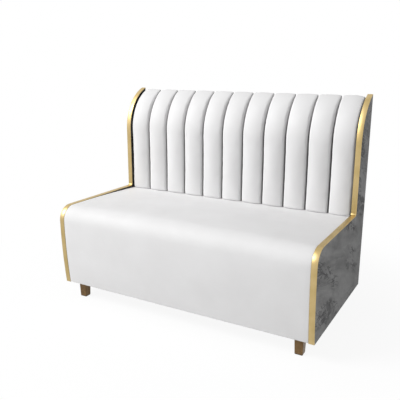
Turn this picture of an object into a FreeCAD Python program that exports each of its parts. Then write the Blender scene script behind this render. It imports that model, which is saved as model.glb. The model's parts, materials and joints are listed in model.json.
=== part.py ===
import FreeCAD, Part
import math
import os

# A fixed two-seat restaurant bench. Two marble-faced side panels with a metal edge trim stand at the
# ends of a wooden frame, which carries a waterfall seat and a channelled back that rolls backwards.
# Millimetres. X runs along the bench, +Y to the rear and +Z up, from the floor under its middle.

# Overall sizes
LENGTH = 1200.0
DEPTH = 660.0
HEIGHT = 940.0
SEAT_HEIGHT = 440.0
LEG_HEIGHT = 75.0

# Outline of a side panel
FRONT_LEAN = 18.0  # the foot of the front edge lies this far behind its foremost point
FRONT_TOP_RADIUS = 65.0
INNER_CORNER_RADIUS = 10.0  # where the seat line turns up into the back
BACK_DEPTH = 142.0
ROLL_RADIUS = 220.0  # bend that leads the upright back to the rear top corner

# Side panel layers
CORE_THICKNESS = 18.0
FACING_THICKNESS = 2.5
TRIM_THICKNESS = 1.5
EDGING_THICKNESS = 1.0

# Seat upholstery
SEAT_PAD = 98.0  # from the webbing up to the seat line
SEAT_DROP = 12.0  # the seat's rear edge lies this far below the seat line
SEAT_CROWN = 8.0  # rise of the seat's middle over its ends
END_DRAW = 4.0  # the cover is drawn in by this much at each end
END_ROLL = 30.0  # length of the rounding at each end
END_STATIONS = (0.0, 0.25, 1.0)  # shares of that length at which the rounding has a section
FRONT_PAD = 24.0  # foam and cover in front of the fascia board
COVER_THICKNESS = 1.5
HEM_WIDTH = 23.0  # cover turned under the front
TUCK_DEPTH = 60.0  # cover tucked down behind the seat

# Back upholstery
CHANNEL_COUNT = 11
CHANNEL_RECESS = 3.0  # crown of a channel behind the trim
CHANNEL_CROWN = 16.0  # crown of a channel over the foot of its shoulders
CHANNEL_SIDE = 16.0  # thickness of a channel at the foot of its shoulders
CHANNEL_GAP = 3.0  # open groove between two channels
SHOULDER_RADIUS = 11.0
REAR_DRAW = 5.0  # the channels' rear ends are drawn in by this much
ROLL_STEPS = 5  # straight stretches that make up the soft roll

# Wooden frame
FRAME_RISE = 4.0  # frame above the panels' lower edge
RAIL_WIDTH = 45.0
RAIL_HEIGHT = 45.0
FASCIA_THICKNESS = 9.0
BACK_BOARD_THICKNESS = 6.0
FORMER_THICKNESS = 18.0
FORMER_COUNT = 4
FORMER_RIM = 50.0  # wood left round the opening in a former
FORMER_CORNER_RADIUS = 30.0
FORMER_DIP = 38.0  # the formers between the ends stay clear of the webbing by this much
FORMER_LIP = 18.0  # wood left above the top rail
REAR_RECESS = 4.0  # rear panel in front of the panels' rear edge
REAR_BOARD_THICKNESS = 5.0

# Webbing and dust cloth
STRAP_WIDTH = 60.0
STRAP_THICKNESS = 2.0
STRAP_END = 3.0  # bare wood past the end of a strap
STRAP_LAP = 12.0  # a long strap stays level for this much on each side of a crossing
CROSS_STRAPS = 6
LONG_STRAPS = 2
DUST_CLOTH_THICKNESS = 1.0

# Legs
LEG_END_GAP = 53.0  # outer face of the bench to the outer face of a leg
LEG_INSET = 15.0  # middle of a front leg behind the front rail's face
LEG_FOOT = 32.0
LEG_TOP = 37.0
LEG_CORNER_RADIUS = 2.0
LEG_WALL = 2.5
LEG_CAP = 6.0  # closed top of a leg
GLIDE_HEIGHT = 3.0
GLIDE_EDGE = 1.0  # the leg overhangs its glide by this much
GLIDE_PLUG = 14.0

# Coach screws
SCREW_RADIUS = 4.0
SCREW_HEAD_RADIUS = 7.5  # to the corners of the hexagon
SCREW_HEAD_HEIGHT = 5.0
PANEL_SCREW_BITE = 13.0  # length of a screw in the panel's core
LEG_SCREW_BITE = 26.0  # length of a screw in the rail

# Clearances
SOFT_GAP = 0.3
FIT_GAP = 0.2

# Places worked out from the sizes
FRONT_Y = -DEPTH / 2
REAR_Y = DEPTH / 2
PANEL_THICKNESS = CORE_THICKNESS + 2 * FACING_THICKNESS
INSIDE_X = LENGTH / 2 - PANEL_THICKNESS
SPRING_Z = SEAT_HEIGHT - FRONT_TOP_RADIUS
FRONT_RISE = SPRING_Z - LEG_HEIGHT
FRONT_BOW = (FRONT_RISE**2 + FRONT_LEAN**2) / (2 * FRONT_LEAN)
BACK_EDGE_Y = REAR_Y - BACK_DEPTH
ROLL_Y = BACK_EDGE_Y + ROLL_RADIUS
ROLL_Z = HEIGHT - math.sqrt(2 * BACK_DEPTH * ROLL_RADIUS - BACK_DEPTH**2)
FRAME_BOTTOM = LEG_HEIGHT + FRAME_RISE
DECK_Z = SEAT_HEIGHT - SEAT_PAD
RAIL_TOP = DECK_Z - 2 * STRAP_THICKNESS - 2 * SOFT_GAP
FORMER_DIP_Z = RAIL_TOP - FORMER_DIP
SHELF_Z = SEAT_HEIGHT - SEAT_DROP
MIDDLE_RAIL_Z = (SHELF_Z + ROLL_Z) / 2
CHANNEL_DEPTH = CHANNEL_CROWN + CHANNEL_SIDE
CHANNEL_BASE = CHANNEL_RECESS + CHANNEL_DEPTH
CHANNEL_PITCH = 2 * INSIDE_X / CHANNEL_COUNT
CHANNEL_HALF = (CHANNEL_PITCH - CHANNEL_GAP) / 2
CHANNEL_BACK_Y = BACK_EDGE_Y + CHANNEL_BASE
BOARD_INSET = CHANNEL_BASE + SOFT_GAP
BOARD_FRONT_Y = BACK_EDGE_Y + BOARD_INSET
FORMER_INSET = BOARD_INSET + BACK_BOARD_THICKNESS + SOFT_GAP
FORMER_BACK_Y = BACK_EDGE_Y + FORMER_INSET
REAR_FACE_Y = REAR_Y - REAR_RECESS
REAR_BOARD_Y = REAR_FACE_Y - COVER_THICKNESS - SOFT_GAP - REAR_BOARD_THICKNESS
RAIL_END_X = INSIDE_X - FIT_GAP


def point(x, y, z):
    return FreeCAD.Vector(x, y, z)


def line(start, end):
    return Part.LineSegment(start, end).toShape()


def polar(x, centre, radius, degrees):
    """A point of the plane at x, at an angle from +Y towards +Z about centre (y, z)."""
    turn = math.radians(degrees)
    return point(x, centre[0] + radius * math.cos(turn), centre[1] + radius * math.sin(turn))


def arc(x, centre, radius, start, end):
    """An arc in the plane at x, between two angles about centre (y, z)."""
    turns = (start, (start + end) / 2, end)
    return Part.Arc(*[polar(x, centre, radius, turn) for turn in turns]).toShape()


def chain(points):
    """Straight edges from point to point."""
    return [line(a, b) for a, b in zip(points, points[1:])]


def first_point(edges):
    return edges[0].firstVertex(True).Point


def last_point(edges):
    return edges[-1].lastVertex(True).Point


def prism(edges, x_low, x_high):
    """The closed outline that lies in the plane at x_low, carried on to x_high."""
    return Part.Face(Part.Wire(edges)).extrude(point(x_high - x_low, 0, 0))


def outline_prism(corners, x_low, x_high):
    """A straight-sided outline of (y, z) corners between two X planes."""
    points = [point(x_low, y, z) for y, z in corners]
    return prism(chain(points + points[:1]), x_low, x_high)


def box(x_low, x_high, y_low, y_high, z_low, z_high):
    return Part.makeBox(x_high - x_low, y_high - y_low, z_high - z_low, point(x_low, y_low, z_low))


def save(name, solids):
    """Writes one node; several solids make a group."""
    shape = solids[0] if len(solids) == 1 else Part.makeCompound(solids)
    shape.exportStep("parts/" + name + ".step")


# Side panels


def front_angle(inset, z):
    """The angle about the front bow's centre at which the moved-in front passes a height."""
    return 180 + math.degrees(math.asin((SPRING_Z - z) / (FRONT_BOW - inset)))


def front_y(z, inset=0.0):
    """Where the bowed front lies at a height, moved in by inset."""
    return polar(0, (FRONT_Y + FRONT_BOW, SPRING_Z), FRONT_BOW - inset, front_angle(inset, z)).y


def front_bow(x, inset, z_low):
    """The bowed front from a height up to where the seat's front rounding starts."""
    centre = (FRONT_Y + FRONT_BOW, SPRING_Z)
    return arc(x, centre, FRONT_BOW - inset, front_angle(inset, z_low), 180)


def roll_arc(x, inset, end_y):
    """The roll of the back from the upright to a depth, moved in by inset."""
    radius = ROLL_RADIUS - inset
    end = math.degrees(math.acos((end_y - ROLL_Y) / radius))
    return arc(x, (ROLL_Y, ROLL_Z), radius, 180, end)


def roll_height(inset, y):
    """Height of the moved-in roll at a depth."""
    return ROLL_Z + math.sqrt((ROLL_RADIUS - inset) ** 2 - (ROLL_Y - y) ** 2)


def trim_line(x, inset, end_y):
    """The front and upper edge of a panel, from its front foot to the rear top corner."""
    corner_y = FRONT_Y + FRONT_TOP_RADIUS
    turn_y = BACK_EDGE_Y - INNER_CORNER_RADIUS
    turn_z = SEAT_HEIGHT + INNER_CORNER_RADIUS
    back_y = BACK_EDGE_Y + inset
    return [
        front_bow(x, inset, LEG_HEIGHT),
        arc(x, (corner_y, SPRING_Z), FRONT_TOP_RADIUS - inset, 180, 90),
        line(point(x, corner_y, SEAT_HEIGHT - inset), point(x, turn_y, SEAT_HEIGHT - inset)),
        arc(x, (turn_y, turn_z), INNER_CORNER_RADIUS + inset, -90, 0),
        line(point(x, back_y, turn_z), point(x, back_y, ROLL_Z)),
        roll_arc(x, inset, end_y),
    ]


def panel_sheet(x_low, x_high):
    """One layer of a side panel, inside the trim and the edging."""
    end_y = REAR_Y - EDGING_THICKNESS
    edges = trim_line(x_low, TRIM_THICKNESS, end_y)
    foot = point(x_low, end_y, LEG_HEIGHT)
    return prism(edges + chain([last_point(edges), foot, first_point(edges)]), x_low, x_high)


def edge_trim(x_low, x_high):
    outer = trim_line(x_low, 0.0, REAR_Y)
    inner = trim_line(x_low, TRIM_THICKNESS, REAR_Y)
    top = line(last_point(outer), last_point(inner))
    foot = line(first_point(inner), first_point(outer))
    return prism(outer + [top] + inner[::-1] + [foot], x_low, x_high)


def screw_hole(start, direction, length):
    return Part.makeCylinder(SCREW_RADIUS + FIT_GAP, length + FIT_GAP, start, direction)


def coach_screw(start, direction, length):
    """A screw that seats at start, with its hexagon head behind and its shank ahead."""
    shank = Part.makeCylinder(SCREW_RADIUS, length, start, direction)
    turn = FreeCAD.Rotation(point(0, 0, 1), direction)
    angles = [math.radians(60 * number) for number in range(7)]
    rim = [point(math.cos(angle), math.sin(angle), 0) * SCREW_HEAD_RADIUS for angle in angles]
    hexagon = Part.Face(Part.makePolygon([start + turn.multVec(corner) for corner in rim]))
    return shank.fuse(hexagon.extrude(direction * -SCREW_HEAD_HEIGHT))


def panel_screw_places():
    """The (y, z) places of the screws that hold a side panel to its end former."""
    low, high = former_opening()
    middle_y = (low[0] + high[0]) / 2
    rims = [(middle_y, low[1] - FORMER_RIM / 2), (middle_y, high[1] + FORMER_RIM / 2)]
    upright_y = (FORMER_BACK_Y + REAR_BOARD_Y - RAIL_WIDTH) / 2
    return rims + [(upright_y, MIDDLE_RAIL_Z + RAIL_HEIGHT / 2)]


def panel_screws(side, make):
    """What make gives for each screw from inside an end former into the panel on that side."""
    seat_x = RAIL_END_X - FORMER_THICKNESS
    length = INSIDE_X - seat_x + FACING_THICKNESS + PANEL_SCREW_BITE
    starts = [point(side * seat_x, y, z) for y, z in panel_screw_places()]
    return [make(start, point(side, 0, 0), length) for start in starts]


def build_side(name, side):
    """The layers of one side panel; side is -1 at the left end and 1 at the right."""
    outer_x = side * LENGTH / 2
    core_outer = outer_x - side * FACING_THICKNESS
    core_inner = core_outer - side * CORE_THICKNESS
    inner_x = side * INSIDE_X
    holes = panel_screws(side, screw_hole)
    edging_y = REAR_Y - EDGING_THICKNESS
    edging_top = roll_height(TRIM_THICKNESS, edging_y)
    low, high = sorted((outer_x, inner_x))
    save(name + "_outer_facing", [panel_sheet(outer_x, core_outer)])
    save(name + "_panel_core", [panel_sheet(core_outer, core_inner).cut(holes)])
    save(name + "_inner_facing", [panel_sheet(core_inner, inner_x).cut(holes)])
    save(name + "_edge_trim", [edge_trim(outer_x, inner_x)])
    save(name + "_rear_edging", [box(low, high, edging_y, REAR_Y, LEG_HEIGHT, edging_top)])


# Seat upholstery


def seat_stations():
    """X, draw and crown of each section of the seat: rounded ends, and a crown that peaks in the middle."""
    half = INSIDE_X - SOFT_GAP
    distances = [END_ROLL * share for share in END_STATIONS] + [half / 2, half]
    right = [(half - distance, end_draw(distance), crown_at(half - distance)) for distance in distances]
    left = [(-x, draw, crown) for x, draw, crown in right[:-1]]
    return left + right[::-1]


def end_draw(distance):
    """How far the cover is drawn in at a distance from its end: a quarter of an ellipse."""
    share = max(0.0, 1 - distance / END_ROLL)
    return END_DRAW * (1 - math.sqrt(1 - share**2))


def crown_at(x):
    return SEAT_CROWN * (1 - (x / INSIDE_X) ** 2)


def seat_top(x, inset, crown, skin):
    """Front rounding, top and rear shelf of one seat section, from the front bow to the rear."""
    radius = FRONT_TOP_RADIUS + crown - inset
    corner = (FRONT_Y + inset + radius, SPRING_Z)
    top_z = SPRING_Z + radius
    shelf_y = BACK_EDGE_Y
    shelf_z = SHELF_Z - skin
    run = shelf_y - corner[0]
    drop = top_z - shelf_z
    bend = math.degrees(2 * math.atan(drop / run))
    sweep = run / math.sin(math.radians(bend))
    shelf = point(x, shelf_y, shelf_z)
    rear = point(x, CHANNEL_BACK_Y - skin, shelf_z)
    return [
        arc(x, corner, radius, 180, 90),
        arc(x, (corner[0], top_z - sweep), sweep, 90, 90 - bend),
        line(shelf, rear),
    ]


def seat_section(x, draw, crown, skin, z_low, tail):
    """A closed seat section, from z_low up its front, over the top and back through the tail's corners."""
    inset = draw + skin
    edges = [front_bow(x, inset, z_low)] + seat_top(x, inset, crown, skin)
    corners = [last_point(edges)] + [point(x, y, z) for y, z in tail] + [first_point(edges)]
    return Part.Wire(edges + chain(corners))


def seat_loft(skin, z_low, tail):
    sections = [seat_section(x, draw, crown, skin, z_low, tail) for x, draw, crown in seat_stations()]
    return Part.makeLoft(sections, True, True)


def seat_cover():
    """One skin over the apron, the front roll and the seat, with a hem and a rear tuck.

    The hollow that is cut out of it runs on below it, which leaves the skin open underneath.
    """
    hem_y = front_y(LEG_HEIGHT) + HEM_WIDTH
    tuck_z = SHELF_Z - TUCK_DEPTH
    inside_y = CHANNEL_BACK_Y - COVER_THICKNESS
    hem_top = LEG_HEIGHT + COVER_THICKNESS
    outside = seat_loft(0.0, LEG_HEIGHT, [(CHANNEL_BACK_Y, tuck_z), (hem_y, LEG_HEIGHT)])
    hollow = [(inside_y, tuck_z - HEM_WIDTH), (hem_y, LEG_HEIGHT - HEM_WIDTH), (hem_y, hem_top)]
    return outside.cut(seat_loft(COVER_THICKNESS, hem_top, hollow))


def seat_foam():
    skin = COVER_THICKNESS + SOFT_GAP
    return seat_loft(skin, DECK_Z, [(CHANNEL_BACK_Y - skin, DECK_Z)])


def fascia_y(z):
    """Front face of the fascia board, a straight line behind the bowed front."""
    low = front_y(LEG_HEIGHT) + FRONT_PAD
    high = front_y(DECK_Z) + FRONT_PAD
    return low + (high - low) * (z - LEG_HEIGHT) / (DECK_Z - LEG_HEIGHT)


def apron_section(x, draw):
    inset = draw + COVER_THICKNESS + SOFT_GAP
    low = LEG_HEIGHT + COVER_THICKNESS + SOFT_GAP
    high = DECK_Z - SOFT_GAP
    centre = (FRONT_Y + FRONT_BOW, SPRING_Z)
    front = arc(x, centre, FRONT_BOW - inset, front_angle(inset, low), front_angle(inset, high))
    back = [point(x, fascia_y(z) - SOFT_GAP, z) for z in (high, low)]
    return Part.Wire([front] + chain([last_point([front])] + back + [first_point([front])]))


def front_foam():
    return Part.makeLoft([apron_section(x, draw) for x, draw, crown in seat_stations()], True, True)


# Back upholstery


def rolled(section, degrees, move):
    """A level section at the foot of the roll, moved and then turned backwards round the roll's axis."""
    return section.translated(move).rotated(point(0, ROLL_Y, ROLL_Z), point(1, 0, 0), -degrees)


def channel_section(x, z, draw=0.0):
    """A channel seen from above: straight sides, round shoulders and a shallow crown, drawn in by draw.

    Its corners run from the foot of the left shoulder over the crown and back round the base.
    """
    shoulder_x = CHANNEL_HALF - SHOULDER_RADIUS
    rise = CHANNEL_CROWN
    crown_radius = (shoulder_x**2 + rise**2 - SHOULDER_RADIUS**2) / (2 * (rise - SHOULDER_RADIUS))
    lean = math.atan2(shoulder_x, crown_radius - rise)
    foot_y = CHANNEL_BACK_Y - CHANNEL_SIDE + draw
    crown_y = foot_y - rise

    def shoulder(side, turn):
        out = shoulder_x + SHOULDER_RADIUS * math.sin(turn)
        return point(x + side * out, foot_y - SHOULDER_RADIUS * math.cos(turn), z)

    def shoulder_arc(side, turns):
        return Part.Arc(*[shoulder(side, turn) for turn in turns]).toShape()

    half_turn = (lean + math.pi / 2) / 2
    crown = Part.Arc(shoulder(-1, lean), point(x, crown_y, z), shoulder(1, lean)).toShape()
    left = shoulder_arc(-1, (math.pi / 2, half_turn, lean))
    right = shoulder_arc(1, (lean, half_turn, math.pi / 2))
    base = [point(x + side * CHANNEL_HALF, CHANNEL_BACK_Y, z) for side in (1, -1)]
    sides = chain([last_point([right])] + base + [first_point([left])])
    return Part.Wire([left, crown, right] + sides)


def flat_side(sections, foot, base):
    """The flat side through two numbered corners of each section."""
    corners = [section.OrderedVertexes for section in sections]
    outer = [vertexes[foot].Point for vertexes in corners]
    inner = [vertexes[base].Point for vertexes in corners]
    return Part.Face(Part.makePolygon(outer + inner[::-1] + outer[:1]))


def channel_sections(x):
    """A channel's sections from the seat up the back and round the roll to an upright end at the rear.

    Those of the roll stand out a little, so that the straight stretches between them clear the bent board.
    """
    foot_z = SHELF_Z + SOFT_GAP
    base_z = roll_height(CHANNEL_BASE, REAR_FACE_Y)
    crown_z = roll_height(CHANNEL_RECESS, REAR_FACE_Y) - REAR_DRAW
    sweep = math.degrees(math.asin((base_z - ROLL_Z) / (ROLL_RADIUS - CHANNEL_BASE)))
    step = sweep / ROLL_STEPS
    swell = (ROLL_RADIUS - CHANNEL_BASE) * (1 / math.cos(math.radians(step / 2)) - 1)
    start = channel_section(x, ROLL_Z)
    turns = [step * (number + 0.5) for number in range(ROLL_STEPS)]
    roll = [rolled(start, turn, point(0, -swell, 0)) for turn in turns]
    base = point(x, CHANNEL_BACK_Y, ROLL_Z)
    level = channel_section(x, ROLL_Z, CHANNEL_DEPTH + base_z - crown_z)
    end = level.rotated(base, point(1, 0, 0), -90).translated(point(x, REAR_FACE_Y, base_z) - base)
    return [channel_section(x, foot_z)] + roll + [end]


def channel(x):
    """A channel in straight stretches, closed by one flat side to the left and one to the right."""
    sections = channel_sections(x)
    faces = Part.makeLoft(sections, True, True).Faces
    between = [face for face in faces if abs(face.CenterOfMass.x - x) < CHANNEL_HALF - SOFT_GAP]
    left = flat_side(sections, 0, 5)
    right = flat_side(sections, 3, 4)
    shell = Part.makeShell(between + [left, right])
    shell.sewShape()
    return Part.Solid(shell)


def build_channels():
    for number in range(CHANNEL_COUNT):
        x = (number - (CHANNEL_COUNT - 1) / 2) * CHANNEL_PITCH
        save("back_channel_%02d" % (number + 1), [channel(x)])


# Wooden frame


def fascia_back(z):
    return fascia_y(z) + FASCIA_THICKNESS


def front_rail(z_low):
    """A rail whose front face is bevelled to lie against the leaning fascia board."""
    z_high = z_low + RAIL_HEIGHT
    rear = fascia_back(z_low) + RAIL_WIDTH
    corners = [(fascia_back(z_low), z_low), (fascia_back(z_high), z_high), (rear, z_high), (rear, z_low)]
    return outline_prism(corners, -RAIL_END_X, RAIL_END_X)


def plain_rail(y_low, z_low):
    return box(-RAIL_END_X, RAIL_END_X, y_low, y_low + RAIL_WIDTH, z_low, z_low + RAIL_HEIGHT)


def rails():
    rear_y = REAR_BOARD_Y - RAIL_WIDTH
    seat_z = RAIL_TOP - RAIL_HEIGHT
    return {
        "front_bottom_rail": front_rail(FRAME_BOTTOM),
        "front_seat_rail": front_rail(seat_z),
        "rear_seat_rail": plain_rail(BOARD_FRONT_Y - RAIL_WIDTH, seat_z),
        "rear_bottom_rail": plain_rail(rear_y, FRAME_BOTTOM),
        "back_middle_rail": plain_rail(rear_y, MIDDLE_RAIL_Z),
        "back_top_rail": plain_rail(rear_y, roll_height(FORMER_INSET, rear_y) - FORMER_LIP - RAIL_HEIGHT),
    }


def fascia_board():
    corners = [
        (fascia_y(FRAME_BOTTOM), FRAME_BOTTOM),
        (fascia_y(RAIL_TOP), RAIL_TOP),
        (fascia_back(RAIL_TOP), RAIL_TOP),
        (fascia_back(FRAME_BOTTOM), FRAME_BOTTOM),
    ]
    return outline_prism(corners, -RAIL_END_X, RAIL_END_X)


def back_board():
    """The bent board behind the channels, down to the foot of the rear seat rail."""
    foot_z = RAIL_TOP - RAIL_HEIGHT
    x = -RAIL_END_X
    front = roll_arc(x, BOARD_INSET, REAR_BOARD_Y)
    rear = roll_arc(x, BOARD_INSET + BACK_BOARD_THICKNESS, REAR_BOARD_Y)
    top = line(last_point([front]), last_point([rear]))
    feet = [point(x, y, foot_z) for y in (BOARD_FRONT_Y + BACK_BOARD_THICKNESS, BOARD_FRONT_Y)]
    foot = chain([first_point([rear])] + feet + [first_point([front])])
    return prism([front, top, rear] + foot, x, RAIL_END_X)


def former_opening():
    """Low and high (y, z) corners of the opening in the seat part of a former."""
    low_y = fascia_back(FRAME_BOTTOM) + RAIL_WIDTH + FORMER_RIM / 2
    high_y = BOARD_FRONT_Y - RAIL_WIDTH - FORMER_RIM / 2
    return (low_y, FRAME_BOTTOM + FORMER_RIM), (high_y, FORMER_DIP_Z - FORMER_RIM)


def former_hole(x_low, x_high):
    low, high = former_opening()
    hole = box(x_low, x_high, low[0], high[0], low[1], high[1])
    radius = min(FORMER_CORNER_RADIUS, (high[1] - low[1]) / 3)
    lengthwise = [edge for edge in hole.Edges if abs(edge.tangentAt(edge.FirstParameter).x) > 0.9]
    return hole.makeFillet(radius, lengthwise)


def former(x_low, seat_z):
    """A plywood profile across the bench: seat part, upright and rolled top."""
    x_high = x_low + FORMER_THICKNESS
    roll = roll_arc(x_low, FORMER_INSET, REAR_BOARD_Y)
    corners = [
        (REAR_BOARD_Y, FRAME_BOTTOM),
        (fascia_back(FRAME_BOTTOM), FRAME_BOTTOM),
        (fascia_back(seat_z), seat_z),
        (FORMER_BACK_Y, seat_z),
    ]
    points = [point(x_low, y, z) for y, z in corners]
    outline = [roll] + chain([last_point([roll])] + points + [first_point([roll])])
    return prism(outline, x_low, x_high).cut(former_hole(x_low, x_high))


def notch(rail):
    """The cut that lets a rail pass through a former."""
    room = rail.BoundBox
    room.enlarge(FIT_GAP)
    return box(-LENGTH, LENGTH, room.YMin, room.YMax, room.ZMin, room.ZMax)


def former_cuts():
    """Notches for the rails and for the foot of the back board."""
    foot_z = RAIL_TOP - RAIL_HEIGHT
    board_foot = box(
        -LENGTH, LENGTH, BOARD_FRONT_Y - FIT_GAP, FORMER_BACK_Y, foot_z - FIT_GAP, ROLL_Z
    )
    return [notch(rail) for rail in rails().values()] + [board_foot]


def build_formers():
    """Formers at the ends reach the webbing; those between them dip below it."""
    first_x = -RAIL_END_X
    step = (2 * RAIL_END_X - FORMER_THICKNESS) / (FORMER_COUNT - 1)
    cuts = former_cuts()
    holes = panel_screws(-1, screw_hole) + panel_screws(1, screw_hole)
    for number in range(FORMER_COUNT):
        at_end = number in (0, FORMER_COUNT - 1)
        shape = former(first_x + number * step, RAIL_TOP if at_end else FORMER_DIP_Z)
        shape = shape.cut(cuts)
        if at_end:
            shape = shape.cut(holes)
        save("former_%d" % (number + 1), [shape])


# Rear panel, webbing and dust cloth


def build_rear_panel():
    """A thin board and the cover that wraps its edges."""
    low_z = FRAME_BOTTOM
    high_z = roll_height(CHANNEL_BASE, REAR_BOARD_Y) - SOFT_GAP
    wrap = COVER_THICKNESS + SOFT_GAP
    half = RAIL_END_X
    board_rear = REAR_BOARD_Y + REAR_BOARD_THICKNESS
    board = box(-half + wrap, half - wrap, REAR_BOARD_Y, board_rear, low_z + wrap, high_z - wrap)
    cover = box(-half, half, REAR_BOARD_Y, REAR_FACE_Y, low_z, high_z)
    inside = half - COVER_THICKNESS
    hollow = box(
        -inside, inside, REAR_BOARD_Y, REAR_FACE_Y - COVER_THICKNESS,
        low_z + COVER_THICKNESS, high_z - COVER_THICKNESS,
    )
    save("rear_panel_board", [board])
    save("rear_panel_cover", [cover.cut(hollow)])


def cross_places():
    pitch = 2 * RAIL_END_X / CROSS_STRAPS
    return [(number - (CROSS_STRAPS - 1) / 2) * pitch for number in range(CROSS_STRAPS)]


def cross_strap(x):
    half = STRAP_WIDTH / 2
    front = fascia_back(RAIL_TOP) + STRAP_END
    return box(x - half, x + half, front, BOARD_FRONT_Y - STRAP_END, RAIL_TOP, RAIL_TOP + STRAP_THICKNESS)


def long_strap(number):
    """A lengthwise strap, woven over and under the others, that ends on the end formers."""
    front = fascia_back(RAIL_TOP) + RAIL_WIDTH
    span = BOARD_FRONT_Y - RAIL_WIDTH - front
    y = front + span * (number + 1) / (LONG_STRAPS + 1) - STRAP_WIDTH / 2
    lift = STRAP_THICKNESS + FIT_GAP
    level = STRAP_WIDTH / 2 + STRAP_LAP
    end_x = RAIL_END_X - STRAP_END
    seat_x = RAIL_END_X - FORMER_THICKNESS
    path = [(-end_x, 0.0), (-seat_x, 0.0)]
    for crossing, x in enumerate(cross_places()):
        height = lift if (crossing + number) % 2 == 0 else -lift
        path += [(x - level, height), (x + level, height)]
    path += [(seat_x, 0.0), (end_x, 0.0)]
    under = [point(x, y, RAIL_TOP + height) for x, height in path]
    over = [corner + point(0, 0, STRAP_THICKNESS) for corner in under[::-1]]
    outline = under + over + under[:1]
    return Part.Face(Part.Wire(chain(outline))).extrude(point(0, STRAP_WIDTH, 0))


def build_webbing():
    for number, x in enumerate(cross_places()):
        save("cross_strap_%d" % (number + 1), [cross_strap(x)])
    for number in range(LONG_STRAPS):
        save("long_strap_%d" % (number + 1), [long_strap(number)])


def dust_cloth():
    """The cloth under the frame, cut out round the legs."""
    half = RAIL_END_X
    low_z = FRAME_BOTTOM - DUST_CLOTH_THICKNESS
    cloth = box(-half, half, fascia_y(LEG_HEIGHT), REAR_BOARD_Y, low_z, FRAME_BOTTOM)
    reach = LEG_TOP / 2 + SOFT_GAP
    places = leg_places().values()
    return cloth.cut([box(x - reach, x + reach, y - reach, y + reach, 0, HEIGHT) for x, y in places])


# Legs


def leg_places():
    """The (x, y) middle of each leg."""
    x = LENGTH / 2 - LEG_END_GAP - LEG_FOOT / 2
    front = fascia_back(FRAME_BOTTOM) + LEG_INSET
    rear = REAR_BOARD_Y - RAIL_WIDTH / 2
    return {
        "front_left": (-x, front),
        "front_right": (x, front),
        "rear_left": (-x, rear),
        "rear_right": (x, rear),
    }


def post(x, y, low, high):
    """A flat-sided square post between two levels, each a (z, side) pair."""
    (foot_z, foot), (head_z, head) = [(z, side / 2) for z, side in (low, high)]
    wedge = Part.makeWedge(-foot, foot_z, -foot, -head, -head, foot, head_z, foot, head, head)
    return wedge.rotated(point(0, 0, 0), point(1, 0, 0), 90).translated(point(x, y, 0))


def leg_side(z):
    """Width of a leg at a height."""
    return LEG_FOOT + (LEG_TOP - LEG_FOOT) * (z - GLIDE_HEIGHT) / (FRAME_BOTTOM - GLIDE_HEIGHT)


def leg(x, y):
    """A tapered square tube with rounded corners and a closed top, drilled for its screw."""
    ceiling = FRAME_BOTTOM - LEG_CAP
    outside = post(x, y, (GLIDE_HEIGHT, LEG_FOOT), (FRAME_BOTTOM, LEG_TOP))
    upright = [edge for edge in outside.Edges if abs(edge.tangentAt(edge.FirstParameter).z) > 0.9]
    outside = outside.makeFillet(LEG_CORNER_RADIUS, upright)
    mouth, roof = [(z, leg_side(z) - 2 * LEG_WALL) for z in (GLIDE_HEIGHT, ceiling)]
    hole = screw_hole(point(x, y, ceiling), point(0, 0, 1), LEG_CAP)
    return outside.cut([post(x, y, mouth, roof), hole])


def glide(x, y):
    """A plastic foot with a plug that fills the mouth of the leg."""
    foot_side = LEG_FOOT - 2 * GLIDE_EDGE
    plug_side = LEG_FOOT - 2 * LEG_WALL - 2 * FIT_GAP
    foot = post(x, y, (0.0, foot_side), (GLIDE_HEIGHT, foot_side))
    plug = post(x, y, (GLIDE_HEIGHT, plug_side), (GLIDE_HEIGHT + GLIDE_PLUG, plug_side))
    return foot.fuse(plug)


def leg_screws(make):
    """What make gives for each screw from inside a leg, through its closed top and into the rail."""
    seat_z = FRAME_BOTTOM - LEG_CAP
    length = LEG_CAP + LEG_SCREW_BITE
    return [make(point(x, y, seat_z), point(0, 0, 1), length) for x, y in leg_places().values()]


def build_legs():
    for name, (x, y) in leg_places().items():
        save("leg_" + name, [leg(x, y)])
        save("glide_" + name, [glide(x, y)])
    save("leg_screws", leg_screws(coach_screw))


def build_rails():
    holes = leg_screws(screw_hole)
    for name, rail in rails().items():
        save(name, [rail.cut(holes) if "bottom" in name else rail])


def build():
    os.makedirs("parts", exist_ok=True)
    build_side("left", -1)
    build_side("right", 1)
    save("panel_screws", panel_screws(-1, coach_screw) + panel_screws(1, coach_screw))
    save("seat_cover", [seat_cover()])
    save("seat_foam", [seat_foam()])
    save("front_foam", [front_foam()])
    build_channels()
    build_rails()
    build_formers()
    save("fascia_board", [fascia_board()])
    save("back_board", [back_board()])
    build_rear_panel()
    build_webbing()
    save("dust_cloth", [dust_cloth()])
    build_legs()


build()
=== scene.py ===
import json
import math

import bmesh
import bpy
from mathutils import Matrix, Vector, noise


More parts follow.
